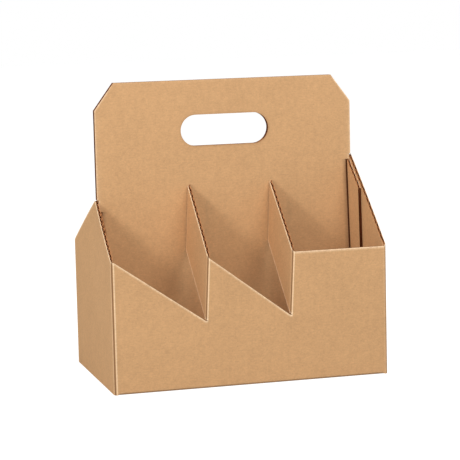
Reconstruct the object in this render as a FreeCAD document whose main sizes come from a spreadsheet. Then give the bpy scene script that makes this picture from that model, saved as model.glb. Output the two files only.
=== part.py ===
import FreeCAD, Part
import math
import os

import Sketcher

# A six-bottle carrier folded from two blanks of corrugated board.
# X runs along the width (left end at -X), Y from the front (-Y) to the back, Z up.
# The origin is the centre of the base, on the surface that the carrier stands on.

# Every driving dimension, in millimetres: alias, value and what it measures.
SIZES = (
    ("carrier_width", 260, "outside, left end to right end"),
    ("carrier_depth", 166, "outside, front panel to back panel"),
    ("board", 2.8, "thickness of the corrugated board"),
    ("glue_gap", 0.2, "space left between two glued layers"),
    ("fold_radius", 2.4, "outside radius of a fold"),
    ("wall_height", 120, "height of the front and back panels"),
    ("notch_height", 62, "height of the bottom of each notch in them"),
    ("hinge_one", 86, "left end to the foot of the first divider's fold"),
    ("hinge_two", 166, "left end to the foot of the second divider's fold"),
    ("hinge_lean", 3.2, "how far each divider's fold drifts right on its way up"),
    ("left_peak", 167, "height of the left end at its middle"),
    ("right_peak", 199, "height of the right end at its middle"),
    ("end_draw", 4.6, "how far the top of each end is pulled in at its middle"),
    ("divider_peak", 180, "height of a divider's top edge at the middle of the carrier"),
    ("divider_tab", 18, "width of a divider's glue tab"),
    ("tab_setback", 5, "distance from a divider tab's corners to the divider's edges"),
    ("tab_taper", 8, "how much a glue tab narrows towards its free edge"),
    ("base_tab", 28, "height of the base's glue tabs"),
    ("base_tab_start", 6, "middle of an end to the base tab beside it"),
    ("joint_tab", 28, "width of the tab that joins the right end to the back panel"),
    ("handle_height", 275, "height of the handle's top edge"),
    ("handle_inset", 6, "outside of an end to the handle's side edge"),
    ("corner_width", 18.6, "width of the handle's cut corners"),
    ("corner_drop", 25, "height of the handle's cut corners"),
    ("hole_length", 85, "length of the hand hole"),
    ("hole_width", 29.2, "height of the hand hole"),
    ("hole_middle", 228, "height of the hand hole's middle"),
    ("end_flap", 27, "length of the handle's glue flaps inside the ends"),
    ("left_flap_setback", 9, "top of the left end to the top of the flap inside it"),
    ("right_flap_setback", 2, "top of the right end to the top of the flap inside it"),
    ("overcut", 5, "how far a cut runs past what it cuts"),
)

# Lengths that several features share, as expressions on the sheet's cells.
BOARD = "sizes.board"
GAP = "sizes.glue_gap"
HALF_WIDTH = "sizes.carrier_width / 2"
HALF_DEPTH = "sizes.carrier_depth / 2"
WALL = "sizes.wall_height"
NOTCH = "sizes.notch_height"
OVERCUT = "sizes.overcut"
TAPER = "sizes.tab_taper"
# The base's tabs hold the ends straight up to this height; above it they are drawn in.
STRAIGHT_TOP = "(sizes.base_tab + 2 * sizes.glue_gap)"
# Inner faces of the ends, and what is glued to them.
END_INSIDE = f"({HALF_WIDTH} - {BOARD})"
FLAP_OUTSIDE = f"({HALF_WIDTH} - {BOARD} - {GAP})"
# Half the thickness of the handle: one ply of board and half the gap between the plies.
HALF_HANDLE = f"({BOARD} + {GAP} / 2)"
LEAN_ANGLE = f"atan(sizes.hinge_lean / ({WALL} - {NOTCH}))"


def fill_sheet(document):
    """The sheet of driving dimensions, one row each: what it measures, its value and alias."""
    sheet = document.addObject("Spreadsheet::Sheet", "sizes")
    for row, (alias, value, meaning) in enumerate(SIZES, start=1):
        sheet.set(f"A{row}", meaning)
        sheet.set(f"B{row}", str(value))
        sheet.setAlias(f"B{row}", alias)
    return sheet


def new_sketch(body, name, role, offset="0"):
    """A sketch on one of the body's own origin planes, moved along its normal by offset."""
    sketch = body.newObject("Sketcher::SketchObject", name)
    for plane in body.Origin.OriginFeatures:
        if plane.Role == role:
            sketch.AttachmentSupport = [(plane, "")]
    sketch.MapMode = "FlatFace"
    sketch.setExpression(".AttachmentOffset.Base.z", offset)
    return sketch


def tie_point(sketch, element, point, across, up):
    """Hold one point of a sketch element at a place given by two expressions."""
    for direction, expression in (("DistanceX", across), ("DistanceY", up)):
        index = sketch.addConstraint(Sketcher.Constraint(direction, -1, 1, element, point, 1.0))
        sketch.setExpression(f"Constraints[{index}]", expression)


def outline(sketch, corners):
    """A closed outline of straight lines through corners, each a pair of expressions."""
    first = sketch.GeometryCount
    count = len(corners)
    ring = []
    for index in range(count):
        angle = 2 * math.pi * index / count
        ring.append(FreeCAD.Vector(100 * math.cos(angle), 100 * math.sin(angle), 0))
    for index in range(count):
        sketch.addGeometry(Part.LineSegment(ring[index], ring[(index + 1) % count]), False)
    for index, (across, up) in enumerate(corners):
        before = first + (index - 1) % count
        sketch.addConstraint(Sketcher.Constraint("Coincident", before, 2, first + index, 1))
        tie_point(sketch, first + index, 1, across, up)


def mirrored(corners):
    """The same outline on the other side of the sketch's upright axis."""
    return [(f"-({across})", up) for across, up in corners]


def grown(feature, larger):
    """The feature after a recompute, which must have made its body larger or smaller."""
    feature.Document.recompute()
    before = feature.BaseFeature.Shape.Volume if feature.BaseFeature else 0.0
    change = feature.Shape.Volume - before
    if (change > 0) != larger or abs(change) < 1e-3:
        raise RuntimeError(f"{feature.Name} changed the volume by {change:.3f} mm3")
    return feature


def extrude(kind, body, name, sketch, length, both_ways=False, backwards=False):
    """A pad or a pocket of a sketch, of a length given by an expression."""
    feature = body.newObject(kind, name)
    feature.Profile = sketch
    feature.SideType = "Symmetric" if both_ways else "One side"
    feature.Reversed = backwards
    feature.setExpression("Length", length)
    return grown(feature, larger=kind == "PartDesign::Pad")


def pad(body, name, sketch, length, **options):
    return extrude("PartDesign::Pad", body, name, sketch, length, **options)


def pocket(body, name, sketch, length, **options):
    return extrude("PartDesign::Pocket", body, name, sketch, length, **options)


def loft(body, name, low, high):
    """Straight-ruled walls from one section up to another."""
    feature = body.newObject("PartDesign::AdditiveLoft", name)
    feature.Profile = low
    feature.Sections = [high]
    feature.Ruled = True
    return grown(feature, larger=True)


def round_folds(body, name, test):
    """The outside radius of a fold along every edge whose end points all pass the test."""
    base = body.Tip
    names = []
    for index, edge in enumerate(base.Shape.Edges, start=1):
        if all(test(vertex.Point) for vertex in edge.Vertexes):
            names.append(f"Edge{index}")
    feature = body.newObject("PartDesign::Fillet", name)
    feature.Base = (base, names)
    feature.setExpression("Radius", "min(sizes.fold_radius, 0.9 * sizes.board)")
    return grown(feature, larger=False)


def near(first, second):
    return abs(first - second) < 0.01


# The outer wrap: front panel, left end, back panel and right end in one strip,
# the base folded in from the front, and four dividers cut from the two long panels.

def wall_strip(body):
    """The strip that goes round, with the joint open at the right-hand back corner."""
    joint = f"({HALF_DEPTH} - {BOARD} - {GAP})"
    sketch = new_sketch(body, "strip_plan", "XY_Plane")
    outline(sketch, [
        (HALF_WIDTH, joint),
        (HALF_WIDTH, f"-{HALF_DEPTH}"),
        (f"-{HALF_WIDTH}", f"-{HALF_DEPTH}"),
        (f"-{HALF_WIDTH}", HALF_DEPTH),
        (HALF_WIDTH, HALF_DEPTH),
        (HALF_WIDTH, f"{HALF_DEPTH} - {BOARD}"),
        (f"-{END_INSIDE}", f"{HALF_DEPTH} - {BOARD}"),
        (f"-{END_INSIDE}", f"-{HALF_DEPTH} + {BOARD}"),
        (END_INSIDE, f"-{HALF_DEPTH} + {BOARD}"),
        (END_INSIDE, joint),
    ])
    pad(body, "strip", sketch, STRAIGHT_TOP)


def long_panels(body):
    """The front and back panels above the strip, and the two notches in each."""
    sketch = new_sketch(body, "panels_plan", "XY_Plane", STRAIGHT_TOP)
    front = [
        (f"-{HALF_WIDTH}", f"-{HALF_DEPTH}"),
        (HALF_WIDTH, f"-{HALF_DEPTH}"),
        (HALF_WIDTH, f"-{HALF_DEPTH} + {BOARD}"),
        (f"-{HALF_WIDTH}", f"-{HALF_DEPTH} + {BOARD}"),
    ]
    outline(sketch, front)
    outline(sketch, [(across, f"-({up})") for across, up in front])
    pad(body, "panels", sketch, f"{WALL} - {STRAIGHT_TOP}")

    notches = new_sketch(body, "notch_outline", "XZ_Plane")
    above = f"{WALL} + {OVERCUT}"
    first_top = (f"-{HALF_WIDTH} + sizes.hinge_one + sizes.hinge_lean", WALL)
    second_top = (f"-{HALF_WIDTH} + sizes.hinge_two + sizes.hinge_lean", WALL)
    outline(notches, [
        (f"-{END_INSIDE}", WALL),
        (f"-{HALF_WIDTH} + sizes.hinge_one", NOTCH),
        first_top,
        (f"-{HALF_WIDTH} + sizes.hinge_two", NOTCH),
        second_top,
        (second_top[0], above),
        (f"-{END_INSIDE}", above),
    ])
    pocket(body, "notches", notches, f"sizes.carrier_depth + {OVERCUT}", both_ways=True)


def end_section(body, name, side, height, draw, back_edge):
    """A section through an end: straight where draw is 0, else bent in at its middle."""
    sketch = new_sketch(body, name, "XY_Plane", height)
    outline(sketch, [
        (f"{side} * {HALF_WIDTH}", f"-{HALF_DEPTH}"),
        (f"{side} * ({HALF_WIDTH} - {draw})", "0"),
        (f"{side} * {HALF_WIDTH}", back_edge),
        (f"{side} * {END_INSIDE}", back_edge),
        (f"{side} * ({END_INSIDE} - {draw})", "0"),
        (f"{side} * {END_INSIDE}", f"-{HALF_DEPTH}"),
    ])
    return sketch


def gable_end(body, label, side, peak, back_edge):
    """An end above the strip: drawn in towards its middle crease, with a gabled top edge."""
    top = f"({peak} + {BOARD})"
    low = end_section(body, f"{label}_end_foot", side, STRAIGHT_TOP, "0", back_edge)
    high = end_section(body, f"{label}_end_top", side, top, "sizes.end_draw", back_edge)
    loft(body, f"{label}_end", low, high)

    middle = f"{side} * ({HALF_WIDTH} - ({BOARD} + sizes.end_draw) / 2)"
    gable = new_sketch(body, f"{label}_gable", "YZ_Plane", middle)
    edge = f"{HALF_DEPTH} + {OVERCUT}"
    above = f"{top} + {OVERCUT}"
    outline(gable, [
        (f"-({edge})", WALL),
        (f"-{HALF_DEPTH}", WALL),
        ("0", peak),
        (HALF_DEPTH, WALL),
        (edge, WALL),
        (edge, above),
        (f"-({edge})", above),
    ])
    reach = f"{BOARD} + sizes.end_draw + {OVERCUT}"
    pocket(body, f"{label}_slopes", gable, reach, both_ways=True)


def base_panel(body):
    """The base, folded in from the front panel, with glue tabs turned up on three sides."""
    sketch = new_sketch(body, "base_plan", "XY_Plane")
    outline(sketch, [
        (f"-{FLAP_OUTSIDE}", f"-{HALF_DEPTH}"),
        (FLAP_OUTSIDE, f"-{HALF_DEPTH}"),
        (FLAP_OUTSIDE, f"{HALF_DEPTH} - {BOARD} - {GAP}"),
        (f"-{FLAP_OUTSIDE}", f"{HALF_DEPTH} - {BOARD} - {GAP}"),
    ])
    pad(body, "base", sketch, BOARD)

    back = new_sketch(body, "back_tab_outline", "XZ_Plane", f"-({HALF_DEPTH} - {BOARD} - {GAP})")
    right_edge = f"({END_INSIDE} - sizes.joint_tab - {OVERCUT})"
    outline(back, [
        (f"-{FLAP_OUTSIDE}", "0"),
        (right_edge, "0"),
        (f"{right_edge} - {TAPER}", "sizes.base_tab"),
        (f"-{FLAP_OUTSIDE} + {TAPER}", "sizes.base_tab"),
    ])
    pad(body, "back_tab", back, BOARD)

    tab = [
        ("sizes.base_tab_start", "0"),
        (f"{HALF_DEPTH} - {BOARD} - {TAPER}", "0"),
        (f"{HALF_DEPTH} - {BOARD} - 2 * {TAPER}", "sizes.base_tab"),
        (f"sizes.base_tab_start + {TAPER}", "sizes.base_tab"),
    ]
    for label, side in (("left", "-1"), ("right", "1")):
        middle = f"{side} * ({FLAP_OUTSIDE} - {BOARD} / 2)"
        sides = new_sketch(body, f"{label}_tabs_outline", "YZ_Plane", middle)
        outline(sides, tab)
        outline(sides, mirrored(tab))
        pad(body, f"{label}_base_tabs", sides, BOARD, both_ways=True)


def wrap_joint(body):
    """The tab at the end of the strip, folded from the right end and glued in the back."""
    sketch = new_sketch(body, "joint_outline", "XZ_Plane", f"-({HALF_DEPTH} - {BOARD} - {GAP})")
    fold = f"{HALF_WIDTH} - {BOARD} / 2"
    edge = f"{END_INSIDE} - sizes.joint_tab"
    outline(sketch, [
        (fold, f"{BOARD} + {GAP}"),
        (fold, f"{WALL} - {TAPER} / 2"),
        (edge, f"{WALL} - {TAPER}"),
        (edge, f"{BOARD} + {GAP} + {TAPER}"),
    ])
    pad(body, "joint_tab", sketch, BOARD)


def divider(body, label, hinge, cell_width):
    """The dividers on one pair of folds, front and back, on their leaning plane.

    Each is the board that its notch left, turned in at a right angle, so that its lower
    edge climbs towards the middle as the notch's edge does towards the left.
    """
    sketch = new_sketch(body, f"{label}_outline", "YZ_Plane", f"{hinge} - {HALF_WIDTH}")
    tilt = FreeCAD.Rotation(FreeCAD.Vector(1, 0, 0), 1)
    sketch.AttachmentOffset = FreeCAD.Placement(FreeCAD.Vector(0, 0, 0), tilt)
    sketch.setExpression(".AttachmentOffset.Rotation.Angle", LEAN_ANGLE)
    sketch.setExpression(".AttachmentOffset.Base.y", NOTCH)
    stretch = f"/ cos({LEAN_ANGLE})"
    notch_climb = f"({WALL} - {NOTCH}) * {HALF_DEPTH} / ({cell_width}) {stretch}"
    outline(sketch, [
        (f"-{HALF_DEPTH}", "0"),
        ("0", notch_climb),
        (HALF_DEPTH, "0"),
        (HALF_DEPTH, f"({WALL} - {NOTCH}) {stretch}"),
        ("0", f"(sizes.divider_peak - {NOTCH}) {stretch}"),
        (f"-{HALF_DEPTH}", f"({WALL} - {NOTCH}) {stretch}"),
    ])
    pad(body, label, sketch, BOARD)


def divider_tabs(body, label, hinge, cell_width):
    """The glue tabs at the inner ends of a pair of dividers, turned towards the right."""
    sketch = new_sketch(body, f"{label}_tab_outline", "XZ_Plane")
    drift = f"sizes.hinge_lean / ({WALL} - {NOTCH})"
    low = f"({NOTCH} + ({WALL} - {NOTCH}) * {HALF_DEPTH} / ({cell_width}) + sizes.tab_setback)"
    high = "(sizes.divider_peak - 2 * sizes.tab_setback)"
    corners = []
    for height, out in (
        (low, "0"),
        (f"({low} + {TAPER})", "sizes.divider_tab"),
        (f"({high} - {TAPER})", "sizes.divider_tab"),
        (high, "0"),
    ):
        face = f"{hinge} - {HALF_WIDTH} + ({height} - {NOTCH}) * {drift} + {BOARD} / 2"
        corners.append((f"{face} + {out}", height))
    outline(sketch, corners)
    pad(body, f"{label}_tabs", sketch, f"2 * ({HALF_HANDLE} + {GAP} + {BOARD})", both_ways=True)


def handle_slot(body):
    """The space between the front and back dividers that the handle stands in."""
    sketch = new_sketch(body, "slot_outline", "XZ_Plane")
    left = f"sizes.hinge_one - {HALF_WIDTH} - {OVERCUT}"
    right = f"sizes.hinge_two - {HALF_WIDTH} + sizes.hinge_lean * 3 + sizes.divider_tab + {OVERCUT}"
    outline(sketch, [
        (left, NOTCH),
        (right, NOTCH),
        (right, f"sizes.divider_peak + {OVERCUT}"),
        (left, f"sizes.divider_peak + {OVERCUT}"),
    ])
    pocket(body, "slot", sketch, f"2 * ({HALF_HANDLE} + {GAP})", both_ways=True)


def outer_wrap(document, sizes):
    body = document.addObject("PartDesign::Body", "outer_wrap")
    body.Label = "outer_wrap"
    wall_strip(body)
    long_panels(body)
    base_panel(body)
    first_cell = f"sizes.hinge_one - {BOARD}"
    second_cell = "sizes.hinge_two - sizes.hinge_one - sizes.hinge_lean"
    for label, hinge, cell in (
        ("first_divider", "sizes.hinge_one", first_cell),
        ("second_divider", "sizes.hinge_two", second_cell),
    ):
        divider(body, label, hinge, cell)
        divider_tabs(body, label, hinge, cell)
    handle_slot(body)
    gable_end(body, "left", "-1", "sizes.left_peak", HALF_DEPTH)
    gable_end(body, "right", "1", "sizes.right_peak", f"({HALF_DEPTH} - {BOARD} - {GAP})")
    wrap_joint(body)

    half_width = sizes.carrier_width / 2
    half_depth = sizes.carrier_depth / 2

    def on_corner(point):
        joint = point.x > 0 and point.y > 0
        return near(abs(point.x), half_width) and near(abs(point.y), half_depth) and not joint

    def on_hinge(point):
        if not near(abs(point.y), half_depth):
            return False
        drift = sizes.hinge_lean * (point.z - sizes.notch_height)
        drift = drift / (sizes.wall_height - sizes.notch_height)
        across = point.x + half_width - drift
        between = sizes.notch_height - 0.01 < point.z < sizes.wall_height + 0.01
        return between and (near(across, sizes.hinge_one) or near(across, sizes.hinge_two))

    def on_base_fold(point):
        return near(point.z, 0) and near(point.y, -half_depth)

    round_folds(body, "base_fold", on_base_fold)
    round_folds(body, "corner_folds", on_corner)
    round_folds(body, "hinge_folds", on_hinge)
    return body


# The handle insert: two plies face to face, folded from one blank along their foot,
# with a flap at each end of each ply that is glued inside the carrier's ends.

def drawn_in(height, peak):
    """How far the inside of an end is pulled in at its middle, at a height above the tabs."""
    return f"sizes.end_draw * ({height} - {STRAIGHT_TOP}) / ({peak} + {BOARD} - {STRAIGHT_TOP})"


def handle_plies(body):
    """The plies' outline: narrow between the ends, stepped out above them, corners cut."""
    sketch = new_sketch(body, "ply_outline", "XZ_Plane")
    foot = f"{BOARD} + {GAP}"
    edge = f"({HALF_WIDTH} - sizes.handle_inset)"
    shoulder = "sizes.handle_height - sizes.corner_drop"

    def side_corners(side, peak):
        step = f"({peak} + {GAP})"
        neck = f"({FLAP_OUTSIDE} - {drawn_in(step, peak)})"
        return [
            (f"{side} * {FLAP_OUTSIDE}", foot),
            (f"{side} * {FLAP_OUTSIDE}", STRAIGHT_TOP),
            (f"{side} * {neck}", step),
            (f"{side} * {edge}", step),
            (f"{side} * {edge}", shoulder),
            (f"{side} * ({edge} - sizes.corner_width)", "sizes.handle_height"),
        ]

    right = side_corners("1", "sizes.right_peak")
    left = side_corners("-1", "sizes.left_peak")
    outline(sketch, right + left[::-1])
    pad(body, "plies", sketch, f"2 * {HALF_HANDLE}", both_ways=True)


def flap_section(body, name, side, height, draw):
    """A section through the pair of flaps inside one end, following the end's inner face."""
    reach = f"(sizes.end_flap + {HALF_HANDLE})"
    eased = f"({draw}) * (1 - {reach} / ({HALF_DEPTH}))"
    sketch = new_sketch(body, name, "XY_Plane", height)
    outline(sketch, [
        (f"{side} * ({FLAP_OUTSIDE} - {eased})", f"-{reach}"),
        (f"{side} * ({FLAP_OUTSIDE} - {draw})", "0"),
        (f"{side} * ({FLAP_OUTSIDE} - {eased})", reach),
        (f"{side} * ({FLAP_OUTSIDE} - {BOARD} - {eased})", reach),
        (f"{side} * ({FLAP_OUTSIDE} - {BOARD} - {draw})", "0"),
        (f"{side} * ({FLAP_OUTSIDE} - {BOARD} - {eased})", f"-{reach}"),
    ])
    return sketch


def end_flaps(body, label, side, peak):
    """The front and back flap at one end, cut parallel to the end's sloping top edges."""
    top = f"({peak} + {BOARD})"
    crest = f"({peak} - sizes.{label}_flap_setback)"
    low = flap_section(body, f"{label}_flap_foot", side, STRAIGHT_TOP, "0")
    high = flap_section(body, f"{label}_flap_top", side, crest, drawn_in(crest, peak))
    loft(body, f"{label}_flaps", low, high)

    reach = f"(sizes.end_flap + {HALF_HANDLE} + {OVERCUT})"
    slope = f"({peak} - {WALL}) / ({HALF_DEPTH})"
    cut = [
        (HALF_HANDLE, f"{crest} - {slope} * {HALF_HANDLE}"),
        (reach, f"{crest} - {slope} * {reach}"),
        (reach, f"{top} + {OVERCUT}"),
        (HALF_HANDLE, f"{top} + {OVERCUT}"),
    ]
    middle = f"{side} * ({FLAP_OUTSIDE} - ({BOARD} + sizes.end_draw) / 2)"
    sketch = new_sketch(body, f"{label}_flap_slopes", "YZ_Plane", middle)
    outline(sketch, cut)
    outline(sketch, mirrored(cut))
    depth = f"{BOARD} + sizes.end_draw + {OVERCUT}"
    pocket(body, f"{label}_flap_cut", sketch, depth, both_ways=True)


def ply_gap(body):
    """The gap between the plies, open all round but for the fold along their foot."""
    sketch = new_sketch(body, "gap_outline", "YZ_Plane")
    foot = f"2 * {BOARD} + {GAP}"
    top = f"sizes.handle_height + {OVERCUT}"
    outline(sketch, [
        (f"-{GAP} / 2", foot),
        (f"{GAP} / 2", foot),
        (f"{GAP} / 2", top),
        (f"-{GAP} / 2", top),
    ])
    pocket(body, "gap", sketch, f"sizes.carrier_width + {OVERCUT}", both_ways=True)


def hand_hole(body, sizes):
    """A round-ended hole through both plies."""
    sketch = new_sketch(body, "hole_outline", "XZ_Plane")
    radius = sizes.hole_width / 2
    reach = (sizes.hole_length - sizes.hole_width) / 2
    height = sizes.hole_middle
    up = FreeCAD.Vector(0, 0, 1)
    for side, start in ((-1, math.pi / 2), (1, -math.pi / 2)):
        centre = FreeCAD.Vector(side * reach, height, 0)
        circle = Part.Circle(centre, up, radius)
        sketch.addGeometry(Part.ArcOfCircle(circle, start, start + math.pi), False)
    for side in (-1, 1):
        level = height + side * radius
        ends = FreeCAD.Vector(-reach, level, 0), FreeCAD.Vector(reach, level, 0)
        sketch.addGeometry(Part.LineSegment(*ends), False)
    for arc, arc_point, line, line_point in ((0, 2, 2, 1), (1, 1, 2, 2), (0, 1, 3, 1), (1, 2, 3, 2)):
        sketch.addConstraint(Sketcher.Constraint("Tangent", arc, arc_point, line, line_point))
    sketch.addConstraint(Sketcher.Constraint("Equal", 0, 1))
    index = sketch.addConstraint(Sketcher.Constraint("Radius", 0, radius))
    sketch.setExpression(f"Constraints[{index}]", "sizes.hole_width / 2")
    run = "(sizes.hole_length - sizes.hole_width) / 2"
    tie_point(sketch, 0, 3, f"-{run}", "sizes.hole_middle")
    tie_point(sketch, 1, 3, run, "sizes.hole_middle")
    pocket(body, "hole", sketch, f"2 * {HALF_HANDLE} + {OVERCUT}", both_ways=True)


def handle_insert(document, sizes):
    body = document.addObject("PartDesign::Body", "handle_insert")
    body.Label = "handle_insert"
    handle_plies(body)
    end_flaps(body, "left", "-1", "sizes.left_peak")
    end_flaps(body, "right", "1", "sizes.right_peak")
    ply_gap(body)
    hand_hole(body, sizes)

    foot = sizes.board + sizes.glue_gap
    face = sizes.board + sizes.glue_gap / 2

    def on_foot_fold(point):
        return near(point.z, foot) and near(abs(point.y), face)

    round_folds(body, "foot_fold", on_foot_fold)
    return body


def check_document(document, bodies):
    """Stop on any object that failed, and on any body that isn't one sound solid."""
    for item in document.Objects:
        if "Invalid" in item.State or "Error" in item.State:
            raise RuntimeError(f"{item.Name} failed: {item.State}")
    for body in bodies:
        shape = body.Shape
        if shape.isNull() or not shape.isValid() or len(shape.Solids) != 1:
            raise RuntimeError(f"{body.Label} isn't one sound solid")


def main():
    document = FreeCAD.newDocument("bottle_carrier")
    sizes = fill_sheet(document)
    document.recompute()
    bodies = [outer_wrap(document, sizes), handle_insert(document, sizes)]
    document.recompute()
    check_document(document, bodies)
    os.makedirs("parts", exist_ok=True)
    for body in bodies:
        body.Shape.exportStep(f"parts/{body.Label}.step")
        print(body.Label, "volume", round(body.Shape.Volume), "mm3", body.Shape.BoundBox)


main()
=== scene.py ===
"""A cardboard bottle carrier, made of two folded blanks of corrugated board.

Every panel is true corrugated board: two liners with a wavy medium between
them, carried round the folds, with its cut edges open. The carrier stands on
its base round the origin, in metres, with its front towards -Y.
"""

import math
from types import SimpleNamespace

import bpy
import numpy as np
from bpy.props import FloatProperty, FloatVectorProperty, PointerProperty
from mathutils import Matrix, Vector


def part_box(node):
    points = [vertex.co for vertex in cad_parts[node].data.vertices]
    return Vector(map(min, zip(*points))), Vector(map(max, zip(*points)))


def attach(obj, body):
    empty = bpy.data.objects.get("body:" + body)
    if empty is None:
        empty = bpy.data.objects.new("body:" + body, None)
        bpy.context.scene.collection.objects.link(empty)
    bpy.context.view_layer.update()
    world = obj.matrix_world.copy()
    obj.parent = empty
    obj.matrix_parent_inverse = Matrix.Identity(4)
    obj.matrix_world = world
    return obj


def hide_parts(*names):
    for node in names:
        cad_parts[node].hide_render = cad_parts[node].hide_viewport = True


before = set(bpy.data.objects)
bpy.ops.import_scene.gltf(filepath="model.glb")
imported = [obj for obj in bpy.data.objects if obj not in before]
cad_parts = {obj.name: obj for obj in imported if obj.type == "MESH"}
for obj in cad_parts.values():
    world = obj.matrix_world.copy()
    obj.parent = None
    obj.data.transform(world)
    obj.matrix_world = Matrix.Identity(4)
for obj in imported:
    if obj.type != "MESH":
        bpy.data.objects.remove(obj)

bl_info = {
    "name": "Cardboard Bottle Carrier",
    "version": (1, 0, 0),
    "blender": (4, 5, 0),
    "location": "3D View > Sidebar > Carrier",
    "description": "Builds a six-bottle carrier of corrugated board on its frame",
    "category": "Add Mesh",
}

MM = 0.001
QUARTER = math.pi / 2
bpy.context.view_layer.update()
HALF_LENGTH, HALF_DEPTH, WRAP_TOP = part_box("outer_wrap")[1]
HANDLE_FOOT, HANDLE_TOP = (corner.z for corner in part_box("handle_insert"))
FACE, FLUTE_SHADED, CUT, TORN_AND_SHADE = range(4)  # a board's papers, as kraft_materials lists them

HIDDEN = 1 * MM  # how far a board runs on inside the one that it is folded out of
INSIDE = 0.03 * MM  # how far its face lies under that board's face there
JUMP = 0.05 * MM  # width over which an edge jumps from one place to another
PRESS = 3 * MM  # half width of the board that a fold presses thin
RIM = 2.6 * MM  # how far from a cut edge the paper is paler, partly wear and partly painted highlight
RIM_ROWS = (1 * MM, RIM)  # distances from a cut edge at which rows of points lie
SAME = 1e-7  # two lengths no further apart than this are the same


# ---------------------------------------------------------------- settings


class BoardSizes(bpy.types.PropertyGroup):
    """Sizes of the corrugated board itself."""

    thickness: FloatProperty(
        name="Board thickness", description="Face to face thickness of the board",
        default=2.8 * MM, min=1 * MM, max=8 * MM, unit="LENGTH")
    liner: FloatProperty(
        name="Liner", description="Thickness of each flat paper face",
        default=0.36 * MM, min=0.1 * MM, max=1 * MM, unit="LENGTH")
    medium: FloatProperty(
        name="Medium", description="Thickness of the wavy paper between the faces",
        default=0.38 * MM, min=0.1 * MM, max=1 * MM, unit="LENGTH")
    pitch: FloatProperty(
        name="Flute pitch", description="Distance from one flute to the next",
        default=6.4 * MM, min=2 * MM, max=12 * MM, unit="LENGTH")
    fold_radius: FloatProperty(
        name="Fold radius", description="Outside radius of every fold",
        default=2.4 * MM, min=1 * MM, max=8 * MM, unit="LENGTH")
    crush: FloatProperty(
        name="Crease depth", description="Share of the thickness pressed out at a fold",
        default=0.32, min=0.15, max=0.5, subtype="FACTOR")
    score: FloatProperty(
        name="Score depth", description="Depth of the scored line beside each fold",
        default=0.4 * MM, min=0.0, max=1 * MM, unit="LENGTH")
    gap: FloatProperty(
        name="Glue gap", description="Space left between two boards that lie together",
        default=0.2 * MM, min=0.0, max=1 * MM, unit="LENGTH")


class WallSizes(bpy.types.PropertyGroup):
    """Sizes of the four walls."""

    height: FloatProperty(
        name="Wall height", description="Height of the long panels at their full parts",
        default=120 * MM, unit="LENGTH")
    notch: FloatProperty(
        name="Notch height", description="Height of the lowest point of each notch",
        default=62 * MM, unit="LENGTH")
    hinge_one: FloatProperty(
        name="First divider", description="Foot of the first fold, from the left end",
        default=86 * MM, unit="LENGTH")
    hinge_two: FloatProperty(
        name="Second divider", description="Foot of the second fold, from the left end",
        default=166 * MM, unit="LENGTH")
    lean: FloatProperty(
        name="Fold lean", description="How far a divider's fold leans along its height",
        default=3.2 * MM, unit="LENGTH")
    left_peak: FloatProperty(
        name="Left peak", description="Height of the left end's gable",
        default=167 * MM, unit="LENGTH")
    right_peak: FloatProperty(
        name="Right peak", description="Height of the right end's gable",
        default=WRAP_TOP, unit="LENGTH")
    draw: FloatProperty(
        name="Ends drawn in", description="How far the handle pulls each gable inwards",
        default=4.6 * MM, unit="LENGTH")
    joint_tab: FloatProperty(
        name="Glue tab", description="Width of the tab that joins the wrap's two ends",
        default=28 * MM, unit="LENGTH")
    taper: FloatProperty(
        name="Tab taper", description="How much a tab narrows at each side",
        default=8 * MM, unit="LENGTH")


class DividerSizes(bpy.types.PropertyGroup):
    """Sizes of the four dividers folded out of the long panels."""

    peak: FloatProperty(
        name="Divider peak", description="Height of a divider where it meets the handle",
        default=180 * MM, unit="LENGTH")
    tab: FloatProperty(
        name="Divider tab", description="Width of the tab glued to the handle",
        default=18 * MM, unit="LENGTH")
    setback: FloatProperty(
        name="Tab setback", description="How much lower the tab's ends are set",
        default=5 * MM, unit="LENGTH")


class BaseSizes(bpy.types.PropertyGroup):
    """Sizes of the bottom panel and its upturned tabs."""

    tab: FloatProperty(
        name="Base tab", description="Height of the upturned tabs",
        default=28 * MM, unit="LENGTH")
    start: FloatProperty(
        name="Tab start", description="Distance of the side tabs from the middle",
        default=6 * MM, unit="LENGTH")


class HandleSizes(bpy.types.PropertyGroup):
    """Sizes of the double handle board."""

    inset: FloatProperty(
        name="Ear inset", description="Distance from the walls' ends to the handle's ears",
        default=6 * MM, unit="LENGTH")
    corner_width: FloatProperty(
        name="Corner width", description="Length of each cut-off top corner",
        default=18.6 * MM, unit="LENGTH")
    corner_drop: FloatProperty(
        name="Corner drop", description="Height of each cut-off top corner",
        default=25 * MM, unit="LENGTH")
    hole_length: FloatProperty(
        name="Hand hole length", description="Length of the round-ended hand hole",
        default=85 * MM, unit="LENGTH")
    hole_width: FloatProperty(
        name="Hand hole width", description="Height of the hand hole",
        default=29.2 * MM, unit="LENGTH")
    hole_middle: FloatProperty(
        name="Hand hole middle", description="Height of the middle of the hand hole",
        default=228 * MM, unit="LENGTH")
    flap: FloatProperty(
        name="End flap", description="Width of each flap glued inside a gable",
        default=27 * MM, unit="LENGTH")
    left_setback: FloatProperty(
        name="Left flap setback", description="How far the left flaps stay below their gable",
        default=9 * MM, unit="LENGTH")
    right_setback: FloatProperty(
        name="Right flap setback", description="How far the right flaps stay below their gable",
        default=2 * MM, unit="LENGTH")


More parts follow.
